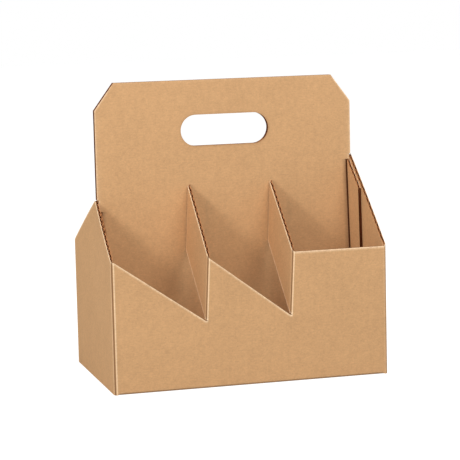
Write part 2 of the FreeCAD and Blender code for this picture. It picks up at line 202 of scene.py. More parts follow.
class KraftFinish(bpy.types.PropertyGroup):
    """Colours and texture of the kraft paper."""

    face: FloatVectorProperty(
        name="Face paper", description="Colour of the flat faces",
        default=(0.605, 0.354, 0.172), min=0, max=1, subtype="COLOR")
    # The colour of the wavy medium: its own browner tone, darkened further as painted shade of
    # the flute hollows; it also colours the liners' sides that face the hollows.
    flute: FloatVectorProperty(
        name="Flute paper with painted shade", description="Colour of the wavy paper inside",
        default=(0.180, 0.047, 0.013), min=0, max=1, subtype="COLOR")
    cut: FloatVectorProperty(
        name="Cut edge", description="Colour of the paper where it is cut",
        default=(0.520, 0.230, 0.092), min=0, max=1, subtype="COLOR")
    # The colour of an edge cut along the flutes: flute paper darkened as painted shade of the
    # open flute between the liners.
    torn_and_shade: FloatVectorProperty(
        name="Torn edge with painted shade", description="Colour of an edge that runs with the flutes",
        default=(0.130, 0.041, 0.013), min=0, max=1, subtype="COLOR")
    # The dark colour: dark fibre flecks, which the paper has, and the painted shade in fold
    # grooves, fold insides, where a ply turns into its flap and round the hand hole.
    dark: FloatVectorProperty(
        name="Dark And Shade", description="Colour of the dark fibres and of painted shade in creases",
        default=(0.080, 0.024, 0.007), min=0, max=1, subtype="COLOR")
    # The pale colour: paper at cut edges and on fold ridges, partly wear and partly painted
    # highlight.
    worn_and_highlight: FloatVectorProperty(
        name="Worn And Highlight", description="Colour where the paper is rubbed pale, with painted highlight",
        default=(0.940, 0.690, 0.440), min=0, max=1, subtype="COLOR")
    roughness: FloatProperty(
        name="Roughness", description="Roughness of the uncoated paper",
        default=0.86, min=0, max=1, subtype="FACTOR")


class StudioSettings(bpy.types.PropertyGroup):
    """Camera angle and light level."""

    turn: FloatProperty(
        name="Camera turn", description="How far left of the front the camera stands",
        default=math.radians(15.5), subtype="ANGLE")
    rise: FloatProperty(
        name="Camera rise", description="How far above level the camera looks down",
        default=math.radians(7.67), subtype="ANGLE")
    roll: FloatProperty(
        name="Camera roll", description="Tilt of the camera about its own line of sight",
        default=math.radians(-1.34), subtype="ANGLE")
    distance: FloatProperty(
        name="Camera distance", description="Distance from the camera to the aim point",
        default=1.768, unit="LENGTH")
    lens: FloatProperty(
        name="Focal length", description="Camera lens in millimetres",
        default=153.5, unit="CAMERA")
    aim: FloatVectorProperty(
        name="Aim point", description="Point in the middle of the view",
        default=(-0.0193, -HALF_DEPTH, 0.1435), subtype="XYZ", unit="LENGTH")
    side: FloatProperty(
        name="Side lamp", description="Power of the lamp at the carrier's left",
        default=18.0, unit="POWER")
    front: FloatProperty(
        name="Front lamp", description="Power of the large lamp above the camera",
        default=17.0, unit="POWER")
    surround: FloatProperty(
        name="Surround", description="Level of the light from all round",
        default=0.42, min=0)


GROUPS = (
    ("carrier_board", BoardSizes),
    ("carrier_walls", WallSizes),
    ("carrier_dividers", DividerSizes),
    ("carrier_base", BaseSizes),
    ("carrier_handle", HandleSizes),
    ("carrier_finish", KraftFinish),
    ("carrier_studio", StudioSettings),
)


# ------------------------------------------------------------ board shapes


def spaced(breaks, step):
    """Every break, and equal steps no longer than `step` from one to the next."""
    runs = [
        np.linspace(a, b, max(1, math.ceil((b - a) / step - 1e-6)) + 1)[:-1]
        for a, b in zip(breaks[:-1], breaks[1:])
    ]
    return np.append(np.concatenate(runs), breaks[-1])


def ruled(breaks, step, folds=(), fine=0.32 * MM, reach=3 * MM):
    """Even steps between the breaks, and finer ones through each fold and beside it."""
    parts = [spaced(breaks, step)]
    parts += [spaced((a - reach, a, b, b + reach), fine) for a, b in folds]
    line = np.concatenate(parts)
    return np.unique(np.round(line[(line >= breaks[0]) & (line <= breaks[-1])], 8))


def fold_line(start, heading, runs, turn, radius):
    """A line folded in a plane, as a function of the length along it.

    The heading is constant along each run and turns evenly through each fold,
    whose arc is the radius times the turn. A point is the start plus the
    running sum of the heading's chords. The inward direction is the heading
    turned a quarter towards the inside of the folds. Returns that function and
    the lengths at which every run begins and ends.
    """
    arc = abs(turn) * radius
    pieces = np.array([part for run in runs[:-1] for part in (run, arc)] + [runs[-1]])
    marks = np.concatenate([[0.0], np.cumsum(pieces)])
    headings = heading + turn * np.repeat(np.arange(len(runs)), 2)
    fine = spaced(marks, arc / 24)
    along = np.interp(fine, marks, headings)
    middle = (along[:-1] + along[1:]) / 2
    step = np.diff(fine) * np.sinc(np.diff(along) / (2 * math.pi))
    first = start[0] + np.append(0.0, np.cumsum(np.cos(middle) * step))
    second = start[1] + np.append(0.0, np.cumsum(np.sin(middle) * step))

    def line(length):
        angle = np.interp(length, marks, headings) + math.copysign(QUARTER, turn)
        place = (np.interp(length, fine, first), np.interp(length, fine, second))
        return np.stack(place, -1), np.stack((np.cos(angle), np.sin(angle)), -1)

    return line, marks


def scored(length, folds, half=1.1 * MM, shift=0.0, strength=1.0, beyond=1.0):
    """The mark of a scored fold: -1 in its groove and 1 on the ridge at each side of it.

    The groove is e to the minus fourth power of the distance from its middle
    over its half width, so that its bottom is flat, and the ridges are bell
    curves, times `beyond` past the fold. The middle lies the shift beyond each
    fold's own, and the mark is multiplied by each fold's strength.
    """
    # the ridge only pales the paper, partly wear and partly painted highlight; the groove sinks
    # the face and its darkening is painted shade
    ridge_out, ridge_width = 0.75 * MM, 0.6 * MM
    centres = np.mean(np.reshape(folds, (-1, 2)), 1)
    past = np.asarray(length).ravel() - centres[:, None] - shift
    away = np.abs(past)
    groove = np.exp(-((away / half) ** 4))
    ridge = np.exp(-(((away - half - ridge_out) / ridge_width) ** 2))
    ridge = ridge * np.where(past > 0, beyond, 1.0)
    share = np.broadcast_to(strength, centres.shape)
    return (share @ (ridge - groove)).reshape(np.shape(length))


def bell(length, centres, width):
    """Bell curves round the centres, summed: e to the minus square of distance over width."""
    return sum(np.exp(-(((length - centre) / width) ** 2)) for centre in centres)


def pressed(length, centres):
    """The board's thickness, less the crease depth's share of it at each fold."""
    board = bpy.context.scene.carrier_board
    return board.thickness * (1 - board.crush * bell(length, centres, PRESS))


def sheet(point, inward, across, along, thickness, crease, rim, state=None, shade=0.0):
    """The face of a board on a grid of rows and columns.

    `across` and `along` are its flat coordinates, across and along the flutes.
    `state` marks each cell as board (1), open (0) or closed up to nothing (-1).
    In the groove of a scored fold the face moves inwards by the score's depth.
    `shade` darkens the paper as a groove does, where the face stays in place.
    """
    shape = np.shape(point)[:2]
    groove = np.broadcast_to(np.clip(-crease, 0, 1), shape)
    point = point + inward * (bpy.context.scene.carrier_board.score * groove)[..., None]
    if state is None:
        state = np.ones((shape[0] - 1, shape[1] - 1), int)
    values = {"across": across, "along": along, "thickness": thickness,
              "crease": crease - shade, "rim": rim}
    spread = {name: np.broadcast_to(value, shape) for name, value in values.items()}
    return SimpleNamespace(point=point, inward=inward, state=state, **spread)


def closed_layer(face, near, far, near_skin, far_skin, cut, rub_and_light=1.0):
    """One paper of the board, between two depths under its face.

    A point is the face's point plus the inward direction times the depth.
    Every cell of board gives a face on both skins, and every grid edge with
    board on one side and an opening on the other gives a wall between the skins.
    A wall that runs more along the flutes than across them gets the colour
    of a ragged edge in place of a clean cut, its open flute darkened as
    painted shade. Points in the same place are then joined.
    The last argument is the share of the face's rim mark, wear and painted
    highlight, that this paper has.
    """
    rows, columns = face.across.shape
    index = np.arange(2 * rows * columns).reshape(2, rows, columns)
    a, b = index[:, :-1, :-1], index[:, :-1, 1:]
    c, d = index[:, 1:, 1:], index[:, 1:, :-1]
    board = face.state == 1
    outer = np.stack([a[0], b[0], c[0], d[0]], -1)[board]
    inner = np.stack([d[1], c[1], b[1], a[1]], -1)[board]

    padded = np.zeros((rows + 1, columns + 1), int)
    padded[1:-1, 1:-1] = face.state
    under, over = padded[:-1, 1:-1], padded[1:, 1:-1]
    left, right = padded[1:-1, :-1], padded[1:-1, 1:]
    level = np.stack([index[0, :, :-1], index[0, :, 1:], index[1, :, 1:], index[1, :, :-1]], -1)
    steep = np.stack([index[0, :-1], index[0, 1:], index[1, 1:], index[1, :-1]], -1)
    walls = np.concatenate([
        level[(under == 1) & (over == 0)],
        level[(under == 0) & (over == 1)][:, ::-1],
        steep[(left == 0) & (right == 1)],
        steep[(left == 1) & (right == 0)][:, ::-1],
    ])
    flat = np.stack([face.across.ravel(), face.along.ravel()], -1)
    run = np.abs(np.diff(flat[walls[:, :2] % (rows * columns)], axis=1))[:, 0]
    kind = np.concatenate([np.full(len(outer), near_skin), np.full(len(inner), far_skin),
                           np.where(run[:, 1] > run[:, 0], TORN_AND_SHADE, cut)])

    skins = np.stack([face.point + face.inward * depth[..., None] for depth in (near, far)])
    faces = np.concatenate([outer, inner, walls])
    span = skins[0, :-1, 1:] - skins[0, :-1, :-1]
    rise = skins[0, 1:, :-1] - skins[0, :-1, :-1]
    facing = np.sum(np.cross(span, rise) * face.inward[:-1, :-1], -1)[board].sum()
    if facing > 0:
        faces = faces[:, ::-1]

    used = np.unique(faces)
    corner = skins.reshape(-1, 3)[used]
    _, first, joined = np.unique(
        np.round(corner * 1e7).astype(np.int64), axis=0, return_index=True, return_inverse=True)
    lookup = np.zeros(index.size, int)
    lookup[used] = joined.ravel()
    marks = np.stack([face.across, face.along, face.crease, rub_and_light * face.rim], -1)
    marks = np.concatenate([marks.reshape(-1, 4)] * 2)[used][first]
    return corner[first], lookup[faces], kind, marks


def corrugated(surface, liner_columns, flute_columns, board):
    """The three papers of one board.

    The liners fill the board's thickness from each face inwards. The medium's
    middle lies at half the thickness plus a sine of the distance across the
    flutes over the pitch, as high as leaves room for the liners.
    """
    face = surface(liner_columns, True)
    zero = np.zeros(face.across.shape)
    core = surface(flute_columns, False)
    height = core.thickness / 2 - board.liner - board.medium / 2
    middle = core.thickness / 2 + height * np.sin(2 * math.pi * core.across / board.pitch)
    # the medium and the liners' sides towards the hollows take the flute colour, which carries
    # painted shade
    return [
        closed_layer(face, zero, zero + board.liner, FACE, FLUTE_SHADED, FACE),
        closed_layer(core, middle - board.medium / 2, middle + board.medium / 2,
                     FLUTE_SHADED, FLUTE_SHADED, CUT),
        closed_layer(face, face.thickness - board.liner, face.thickness, FLUTE_SHADED, FACE, CUT,
                     rub_and_light=0.0),
    ]


def row_mix(low, knee, high, edges):
    """Heights of a strip's rows: shares of its low edge, knee and high edge, and a step.

    With `edges`, two more rows lie close to each cut edge.
    """
    mix = [(1, 0, 0, 0), (0.5, 0.5, 0, 0), (0, 1, 0, 0), (0, 0.75, 0.25, 0),
           (0, 0.5, 0.5, 0), (0, 0.25, 0.75, 0), (0, 0, 1, 0)]
    if edges:
        mix[1:1] = [(1, 0, 0, step) for step in RIM_ROWS]
        mix[-1:-1] = [(0, 0, 1, -step) for step in RIM_ROWS[::-1]]
    return np.array(mix) @ np.stack([low, knee, high, np.ones_like(low)])


def rim_mark(distance):
    """How near a point is to a cut edge: the square of one less the distance over RIM."""
    return np.clip(1 - distance / RIM, 0, 1) ** 2


def stack3(x, y, z):
    """Three coordinate arrays as one array of points."""
    return np.stack(np.broadcast_arrays(x, y, z), -1)


# --------------------------------------------------------- carrier's lines


def settings():
    """The scene's settings for the board, walls, dividers, base and handle."""
    scene = bpy.context.scene
    return (scene.carrier_board, scene.carrier_walls, scene.carrier_dividers,
            scene.carrier_base, scene.carrier_handle)


def gable(walls, y, peak):
    """A gable's edge: from the walls' height at the corners straight up to its peak."""
    return walls.height + (peak - walls.height) * (1 - np.abs(y) / HALF_DEPTH)


def flap_setback(end):
    """How far the flaps at an end stay below its gable's edge."""
    handle = bpy.context.scene.carrier_handle
    return handle.left_setback if end < 0 else handle.right_setback


def knee_height():
    """Height up to which the ends stand straight."""
    board, _, _, base, _ = settings()
    return base.tab + 2 * board.gap


def drawn(x, y, z):
    """How far an end is pulled in.

    Nothing up to the knee, then even with height up to the peak, and even
    across the depth from nothing at the corners to the most in the middle.
    """
    board, walls, *_ = settings()
    peak = np.where(x < 0, walls.left_peak, walls.right_peak) + board.thickness
    share = np.maximum(z - knee_height(), 0) / (peak - knee_height())
    return walls.draw * share * np.clip(1 - np.abs(y) / HALF_DEPTH, 0, 1)


def side_tab_reach():
    """How far from the middle the base's side tabs reach: past the glue tab's taper."""
    board, walls, *_ = settings()
    return HALF_DEPTH - board.thickness - board.gap - walls.taper + 0.2 * MM


def hinge_foot(which):
    """Where a divider's fold meets the bottom of its notch, along the carrier."""
    walls = bpy.context.scene.carrier_walls
    return -HALF_LENGTH + (walls.hinge_one, walls.hinge_two)[which]


def long_panel_edge():
    """The long panels' top edge, as points from left to right.

    It slopes down from the left corner to the first fold, springs back along
    the fold to the full height, slopes down to the second fold, springs back
    again and runs level. Along a fold the panel stops a fold radius short.
    """
    board, walls, *_ = settings()
    top, low, r = walls.height, walls.notch, board.fold_radius
    one, two = hinge_foot(0), hinge_foot(1)
    slope = (top - low) / (two - one - walls.lean)
    return np.array([
        (-HALF_LENGTH, top), (-HALF_LENGTH + board.thickness, top), (one, low),
        (one + r, low), (one + walls.lean + r, top - slope * r), (two, low),
        (two + r, low), (two + walls.lean + r, top), (HALF_LENGTH, top)])


def wall_surface():
    """The four walls and the glue tab as one strip, and its column breaks.

    The strip's line runs from the tab's free edge round the right end, the
    front, the left end and the back, seen from above. Its top edge is the
    tab's, the gables' or the long panels' edge, joined by straight lines
    along the strip. The ends are then drawn in.
    """
    board, walls, *_ = settings()
    r, t, gap = board.fold_radius, board.thickness, board.gap
    back_stop = HALF_DEPTH - t - gap
    tab_run, tab_drop, tab_jump, foot_slope = walls.joint_tab, 4 * MM, 0.2 * MM, 3 * MM
    score_strength = [1, 0.2, 1, 1]  # back right, front right, front left, back left
    length, depth = 2 * HALF_LENGTH, 2 * HALF_DEPTH
    line, marks = fold_line(
        (HALF_LENGTH - r - tab_run, back_stop), 0.0,
        [tab_run, HALF_DEPTH + back_stop - 2 * r, length - 2 * r, depth - 2 * r, length - r],
        -QUARTER, r)
    _, tab_end, right, right_end, front, front_end, left, left_end, back, back_end = marks

    edge = long_panel_edge()
    front_at = front + (HALF_LENGTH - r - edge[1:-1, 0])[::-1]
    back_at = back + (edge[1:-1, 0] + HALF_LENGTH - r)
    right_at = right + (back_stop - r)
    left_at = left + (HALF_DEPTH - r)
    high_at = np.concatenate([
        [0, tab_end - tab_jump, tab_end, right, right_at, right_end, front], front_at,
        [front_end, left, left_at, left_end, back], back_at, [back_end]])
    corner = gable(walls, HALF_DEPTH - r, np.array([walls.right_peak, walls.left_peak]))
    rear = gable(walls, np.array([back_stop, back_stop - r]), walls.right_peak)
    tab_high = walls.height - tab_drop
    high_z = np.concatenate([
        [tab_high - walls.taper, tab_high, rear[0], rear[1], walls.right_peak, corner[0],
         walls.height], edge[1:-1, 1][::-1],
        [walls.height, corner[1], walls.left_peak, corner[1], walls.height],
        edge[1:-1, 1], [walls.height]])
    foot = HALF_LENGTH - t - gap
    foot_in, foot_out = front + HALF_LENGTH - r - foot, front + HALF_LENGTH - r + foot
    low_at = [0, tab_end - tab_jump, tab_end, right_end, foot_in, foot_in + foot_slope,
              foot_out - foot_slope, foot_out, left, back_end]
    low_z = [t + gap + walls.taper, t + gap, 0, 0, 0, r, r, 0, 0, 0]
    folds = marks[1:-1].reshape(-1, 2)
    centres = folds.mean(1)

    def surface(columns, edges):
        low, high = np.interp(columns, low_at, low_z), np.interp(columns, high_at, high_z)
        z = row_mix(low, np.full_like(low, knee_height()), high, edges)
        place, side = line(columns)
        x, y = place.T
        x = x - np.sign(x) * drawn(x, y, z)
        return sheet(stack3(x, y, z), stack3(side[:, 0], side[:, 1], 0 * z), columns, z,
                     pressed(columns, centres),
                     scored(columns, folds, strength=score_strength), rim_mark(high - z))

    breaks = np.unique(np.concatenate([marks, high_at, low_at]))
    return surface, breaks, folds


def divider_surface(which, side):
    """One divider, folded out of a long panel, and the tab that it turns onto the handle.

    The line runs a little way inside the long panel, turns in through the
    fold, crosses the carrier to the handle and turns along it. The fold
    leans, so a point moves along the carrier evenly with its height. The
    lower edge is what was the notch's slope in the flat blank, and the upper
    edge climbs straight from the wall to the handle. `side` is -1 at the
    front and 1 at the back.
    """
    board, walls, dividers, _, _ = settings()
    r, t = board.fold_radius, board.thickness
    stop = t + board.gap + board.gap / 2
    line, marks = fold_line(
        (r + HIDDEN, -HALF_DEPTH + INSIDE), math.pi,
        [HIDDEN, HALF_DEPTH - INSIDE - stop - 2 * r, dividers.tab - r], -QUARTER, r)
    _, run_end, fold_end, cross_end, tab_at, tab_end = marks
    rise = walls.height - walls.notch
    foot = hinge_foot(which)
    start = (-HALF_LENGTH + t, hinge_foot(0) + walls.lean)[which]
    slope = rise / (foot - start)
    climb = (dividers.peak - walls.height) / HALF_DEPTH
    ahead = (hinge_foot(1) - foot - walls.lean, HALF_LENGTH)[which]
    fall = (rise / ahead, 0.0)[which]
    reach = HALF_DEPTH - stop
    low_at = [0, run_end, fold_end, cross_end, tab_at, tab_at + JUMP, tab_end]
    handle_low = walls.notch + slope * reach
    low_z = [walls.notch, walls.notch, walls.notch + slope * r, handle_low - slope * r,
             handle_low, handle_low + dividers.setback,
             handle_low + dividers.setback + walls.taper]
    handle_high = walls.height + climb * reach
    tab_high = dividers.peak - 2 * dividers.setback
    high_z = [walls.height - fall * (r + HIDDEN) - INSIDE, walls.height - fall * r,
              walls.height + climb * r, handle_high - climb * r, handle_high, tab_high,
              tab_high - walls.taper]
    folds = marks[1:-1].reshape(-1, 2)
    centres = folds.mean(1)

    def surface(columns, edges):
        low, high = np.interp(columns, low_at, low_z), np.interp(columns, low_at, high_z)
        z = row_mix(low, (low + high) / 2, high, edges)
        place, facing = line(columns)
        x = foot + place[:, 0] + walls.lean * (z - walls.notch) / rise
        return sheet(stack3(x, -side * place[:, 1], z),
                     stack3(facing[:, 0], -side * facing[:, 1], 0 * z), columns, z,
                     pressed(columns, centres),
                     scored(columns, folds, half=0.9 * MM, shift=0.3 * MM, beyond=0.3),
                     rim_mark(np.minimum(z - low, high - z)))

    return surface, np.unique(np.concatenate([marks, low_at])), folds


def squeezed(s, limit, edge, start):
    """Columns pulled to an edge: unchanged up to the start, then even steps to the edge."""
    size = np.abs(s)
    moved = start + (size - start) * (edge - start) / (limit - start)
    return np.sign(s) * np.where(size > start, moved, size)


def base_surface():
    """The bottom panel, folded up from the front wall, with its rear tab.

    Columns run along the carrier and rows along a line that comes down the
    front wall, turns under, crosses to the back and turns up into the tab.
    The panel's ends step in by a fold radius where the side tabs turn up, and
    run up to the pressed corner folds beyond them. The rear tab narrows with
    height, and right of it the panel stays flat.
    """
    board, walls, _, base, _ = settings()
    r, t, gap = board.fold_radius, board.thickness, board.gap
    stop = HALF_DEPTH - t - gap
    half = HALF_LENGTH - t - gap
    line, marks = fold_line(
        (-HALF_DEPTH + INSIDE, r + HIDDEN), -QUARTER,
        [HIDDEN, HALF_DEPTH + stop - INSIDE - 2 * r, base.tab - r], QUARTER, r)
    _, _, under, under_end, tab_at, tab_end = marks
    narrow, squeeze = 60 * MM, 100 * MM  # where the tab's and the panel's columns shift
    clear, slot, rim_strip = 5 * MM, 0.1 * MM, 2 * MM  # beside the tab, its cut, its ends
    tab_stop = HALF_LENGTH - r - walls.joint_tab - clear
    near, wide = base.start, side_tab_reach()
    edge_y = np.array([-wide - JUMP, -wide, -near, -near + JUMP, near - JUMP, near, wide,
                       wide + JUMP])
    corner = half + 0.6 * MM  # into the pressed fold, so that no light shows there
    edge_x = np.array([corner, half - r, half - r, half, half, half - r, half - r, corner])
    edge_u = under + edge_y + HALF_DEPTH - INSIDE - r
    folds = marks[1:-1].reshape(-1, 2)
    centres = folds.mean(1)

    def surface(columns, edges):
        step, fine, reach = (20, 0.35, 2) if edges else (60, 1.3, 0.5)
        ends = np.array([tab_at + 10 * SAME, tab_end - 1.6 * MM, tab_end - 0.6 * MM])
        rows = ruled(marks, step * MM, folds, fine * MM, reach * MM)
        rows = np.concatenate([rows, edge_u, ends if edges else ends[:1]])
        rows = np.unique(np.round(rows, 7))
        w = rows[:, None]
        place, facing = line(rows)
        y, z = place[:, :1], place[:, 1:]
        side, up = facing[:, :1], facing[:, 1:]
        s = columns[None, :]
        x = squeezed(s, half, np.interp(w, edge_u, edge_x), squeeze)
        tapered = walls.taper * np.clip((w - tab_at) / (tab_end - tab_at), 0, 1)
        on_tab = w > under_end + SAME
        right = narrow + (s - narrow) * (tab_stop - tapered - narrow) / (tab_stop - narrow)
        left = -narrow + (s + narrow) * (corner - tapered - narrow) / (half - narrow)
        x = np.where(on_tab & (s > narrow) & (s <= tab_stop), right, x)
        x = np.where(on_tab & (s < -narrow), left, x)
        flat = on_tab & (s > tab_stop)
        turned = np.clip((w - under_end) / (tab_at - under_end), 0, 1)
        y = np.where(flat, stop - r + r * turned, y + 0 * s)
        z = np.where(flat, 0, z + 0 * s)
        inward = stack3(0 * x, np.where(flat, 0, side + 0 * s), np.where(flat, 1, up + 0 * s))
        press = bell(w, centres, PRESS) * (1 - flat)
        beyond = (columns[:-1] >= tab_stop - SAME)[None, :]
        slit = beyond & (columns[1:] <= tab_stop + 1.1 * slot)[None, :]
        lifted = (rows[:-1] >= tab_at - SAME)[:, None]
        bent = (rows[:-1] >= under_end - SAME)[:, None]
        state = np.where((lifted & beyond) | (bent & slit), 0, 1)
        rim = rim_mark(np.minimum(half - np.abs(x), tab_end - w))
        return sheet(stack3(x, y, z), inward, x, w, t * (1 - board.crush * press),
                     scored(w, folds, strength=0.2) * (1 - flat), rim, state)

    breaks = np.array([-half, -half + rim_strip, -squeeze, -narrow, narrow, tab_stop,
                       tab_stop + slot, squeeze, half - rim_strip, half])
    return surface, breaks, []


def side_tab_surface(end, side):
    """One of the four side tabs, turned up from the bottom panel inside an end.

    Columns run along a line that leaves the panel, turns up and climbs to the
    tab's height; rows share the tab's width evenly, which narrows with
    height.
    """
    board, walls, _, base, _ = settings()
    r, t, gap = board.fold_radius, board.thickness, board.gap
    half, stop, tab_width = HALF_LENGTH - t - gap, side_tab_reach(), 70 * MM
    line, marks = fold_line((half - r - HIDDEN, INSIDE), 0.0, [HIDDEN, base.tab - r],
                            QUARTER, r)
    fold = marks[1:3]
    share = np.array([0, 0.01, 0.035, 0.2, 0.5, 0.8, 0.965, 0.99, 1])

    def surface(columns, edges):
        place, facing = line(columns)
        x, z = place.T
        tapered = walls.taper * np.clip((columns - fold[1]) / (marks[-1] - fold[1]), 0, 1)
        mix = (share if edges else share[::2])[:, None]
        y = (base.start + tapered) * (1 - mix) + (stop - tapered) * mix
        inward = stack3(end * facing[:, 0], 0 * y, facing[:, 1])
        rim = rim_mark(np.minimum(marks[-1] - columns, tab_width * np.minimum(mix, 1 - mix)))
        return sheet(stack3(end * x, side * y, z), inward, columns, y,
                     pressed(columns, [fold.mean()]), scored(columns, fold), rim)

    return surface, marks, [fold]


def handle_surface():
    """Both plies of the handle and the fold at its foot as one sheet.

    Columns run along the carrier and rows down the front ply, round the foot
    and up the back ply. The hand hole is two half circles joined by straight
    lines: its rows stand off the middle height by the square root of the
    radius squared less the distance past the half circle's centre squared.
    Each side edge is a line of widths against height: straight at the foot,
    a fold radius short along a flap, drawn in at the neck, and out again at
    the ears. The plies nearly touch, so that no light passes along their glue.
    Painted shade darkens the paper by the hole and where a ply turns into its
    flap, and its cut edges are paler, partly wear and partly painted highlight.
    """
    board, walls, _, _, handle = settings()
    r, t, gap = board.fold_radius, board.thickness, board.gap
    half_ply, glued = t + gap / 2, t + 0.45 * gap
    half = HALF_LENGTH - t - gap
    ear = HALF_LENGTH - handle.inset
    top, foot = HANDLE_TOP, HANDLE_FOOT + half_ply
    radius, tip = handle.hole_width / 2, handle.hole_length / 2
    centre = tip - radius
    start, slit_width, rim_strip = 98 * MM, 2 * MM, 2 * MM
    # rim strengths give wear and painted highlight; hole and slit strengths give painted shade
    corner_rub_and_highlight, top_rub_and_highlight, side_rub_and_highlight, hole_shade, slit_shade = 0.9, 0.1, 0.5, 0.35, 3.0
    corner = ear - handle.corner_width
    ear_share = (half - start) / (ear - start)
    knee = knee_height()

    def edge_of(end, peak):
        """Heights and widths of one side edge."""
        flap = gable(walls, half_ply, peak) - flap_setback(end)
        neck = peak + gap
        at = np.array([0, knee - JUMP, knee, flap - JUMP, flap, neck - JUMP, neck, top])
        pulled = half - drawn(np.full_like(at, end), 0 * at, at)
        less = np.array([0, 0, r, r, 0, 0, 0, 0])
        return at, np.where(at >= neck - SAME, ear, pulled - less)

    left_at, left_x = edge_of(-1, walls.left_peak)
    right_at, right_x = edge_of(1, walls.right_peak)
    steps = np.union1d(left_at[1:-1], right_at[1:-1])

    def surface(columns, edges):
        s = columns
        size = np.abs(s)
        ear_x = start + (size - start) / ear_share
        cut = handle.corner_drop * np.clip((ear_x - corner) / handle.corner_width, 0, 1)
        high = top - np.where(size > start, cut, 0)
        reach = np.where(size > tip - SAME, radius, np.clip(size - centre, 0, radius))
        hole = np.sqrt(np.maximum(radius ** 2 - reach ** 2, 0))
        over, under = handle.hole_middle + hole, handle.hole_middle - hole
        flat = np.ones_like(s)
        small = RIM_ROWS if edges else ()
        clear = [np.sqrt((radius + d) ** 2 - reach ** 2) - hole for d in small]
        rows = [high] + [high - d for d in small] + [(high + over) / 2]
        rows += [over + d for d in clear[::-1]] + [over, under] + [under - d for d in clear]
        hole_row = 2 + 2 * len(small)  # the cells between the hole's two edges
        rows += [flat * z for z in steps[::-1]] + [flat * foot]
        low_rows = np.stack(rows)
        turn = np.linspace(0, math.pi, 9 if edges else 7)[1:-1, None]
        z = np.concatenate([low_rows, foot - half_ply * np.sin(turn) * flat, low_rows[::-1]])
        front = np.zeros((len(rows), 1))
        angle = np.concatenate([front, turn, front + math.pi])
        y = -half_ply * np.cos(angle) * flat
        width = np.where(s < 0, np.interp(z, left_at, left_x), np.interp(z, right_at, right_x))
        x = squeezed(s + 0 * z, half, width, start)
        inward = stack3(0 * x, np.cos(angle) * flat, np.sin(angle) * flat)
        state = np.ones((len(z) - 1, len(s) - 1), int)
        middle = (size[:-1] + size[1:]) / 2
        gone = np.where(middle < tip, 0, -1)  # open in the hole, no height beyond its tips
        state[hole_row] = gone
        state[len(z) - 2 - hole_row] = gone
        to_hole = np.hypot(np.maximum(size - centre, 0), z - handle.hole_middle) - radius
        rim = np.maximum(rim_mark(high - z) * np.where(cut > 0, corner_rub_and_highlight, top_rub_and_highlight),
                         side_rub_and_highlight * rim_mark(width - np.abs(x)))
        along = np.abs(z) * np.sign(y + SAME)
        press = np.sin(angle) ** 2 * flat
        turned = (z > knee - JUMP) & (z < np.where(s < 0, left_at[4], right_at[4]))
        slit = turned * np.clip(1 - (width - np.abs(x)) / slit_width, 0, 1)
        shade = slit_shade * slit + hole_shade * rim_mark(np.abs(to_hole))
        return sheet(stack3(x, y, z), inward, x, along, glued * (1 - 0.2 * press), 0.0, rim,
                     state, shade)

    arc = centre + radius * np.sin(np.linspace(0, QUARTER, 15))
    side = np.concatenate([arc, [tip + step for step in RIM_ROWS], [
        start, start + (corner - start) * ear_share, half - rim_strip, half]])
    breaks = np.unique(np.round(np.concatenate([-side, [0], side]), 8))
    return surface, breaks, []


def flap_surface(end, side):
    """One flap of a ply, turned along the inside of a gable.

    The line leaves the ply's inner face, turns a quarter and runs along the
    gable. The top follows the gable's edge, set back a little, and the flap
    is drawn in with its end. The inside of its fold is darkened as painted shade.
    """
    board, walls, _, _, handle = settings()
    r, t, gap = board.fold_radius, board.thickness, board.gap
    half = HALF_LENGTH - t - gap
    peak = walls.left_peak if end < 0 else walls.right_peak
    fold_drop, fold_shade, shade_width = 0.4 * MM, 1.5, 1.5 * MM
    line, marks = fold_line((half - r - HIDDEN, -gap / 2 - INSIDE), 0.0,
                            [HIDDEN, handle.flap + t - r], -QUARTER, r)
    fold = marks[1:3]

    def surface(columns, edges):
        place, facing = line(columns)
        x, y = place.T
        low = np.full_like(x, knee_height())
        high = gable(walls, np.maximum(-y, t + gap / 2), peak) - flap_setback(end)
        high = high - fold_drop * (columns < fold[1])
        z = row_mix(low, (low + high) / 2, high, edges)
        x = end * (x - drawn(np.full_like(z, end), y, z))
        return sheet(stack3(x, -side * y, z),
                     stack3(end * facing[:, 0], -side * facing[:, 1], 0 * z), columns, z,
                     pressed(columns, [fold.mean()]), scored(columns, fold),
                     rim_mark(np.minimum(z - low, high - z)),
                     shade=fold_shade * bell(columns, [fold[1]], shade_width))

    return surface, marks, [fold]


# ----------------------------------------------------------------- meshes


